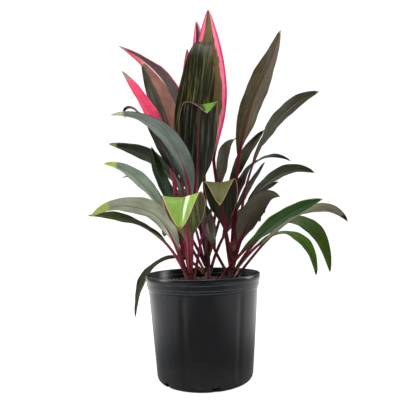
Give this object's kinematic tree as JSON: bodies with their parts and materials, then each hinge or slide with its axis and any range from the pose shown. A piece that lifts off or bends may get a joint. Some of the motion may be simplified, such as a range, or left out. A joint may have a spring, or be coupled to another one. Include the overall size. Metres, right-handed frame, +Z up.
{
  "type": "potted plant",
  "caption": "Potted cordyline with strap leaves edged in pink, arching from upright canes in a round black nursery pot.",
  "frame": {"origin": "centre of the flat base of the pot", "axes": "+Z up out of the pot, -Y to the front of the plant as pictured, +X to its right"},
  "size_m": [0.5324, 0.4855, 0.8001],
  "materials": {
    "pot": "satin",
    "soil": "matte",
    "cane": "matte",
    "leaf_green": "satin",
    "leaf_bright": "satin",
    "leaf_bronze": "satin",
    "leaf_pink": "satin"
  },
  "bodies": {
    "root": {"pot": "pot", "soil": "soil", "cane_left": "cane", "cane_right": "cane", "cane_middle": "cane", "cane_back": "cane", "leaf_left_1": "leaf_green", "leaf_left_2": "leaf_green", "leaf_left_3": "leaf_green", "leaf_left_4": "leaf_green", "leaf_left_5": "leaf_bright", "leaf_left_6": "leaf_green", "leaf_left_7": "leaf_green", "leaf_left_8": "leaf_green", "leaf_left_9": "leaf_bronze", "leaf_left_10": "leaf_pink", "leaf_left_11": "leaf_bronze", "leaf_left_12": "leaf_bronze", "leaf_left_13": "leaf_pink", "leaf_left_14": "leaf_pink", "leaf_left_15": "leaf_bronze", "leaf_right_1": "leaf_green", "leaf_right_2": "leaf_green", "leaf_right_3": "leaf_green", "leaf_right_4": "leaf_bright", "leaf_right_5": "leaf_green", "leaf_right_6": "leaf_bronze", "leaf_right_7": "leaf_bronze", "leaf_right_8": "leaf_green", "leaf_right_9": "leaf_green", "leaf_right_10": "leaf_bronze", "leaf_right_11": "leaf_bronze", "leaf_right_12": "leaf_bronze", "leaf_right_13": "leaf_pink", "leaf_middle_1": "leaf_bright", "leaf_back_1": "leaf_green", "leaf_back_2": "leaf_green", "leaf_back_3": "leaf_green", "leaf_back_4": "leaf_green", "leaf_back_5": "leaf_bronze", "leaf_back_6": "leaf_green", "leaf_back_7": "leaf_green", "leaf_back_8": "leaf_green", "leaf_back_9": "leaf_green", "leaf_back_10": "leaf_bronze", "leaf_back_11": "leaf_bronze", "leaf_back_12": "leaf_pink"}
  },
  "joints": []
}
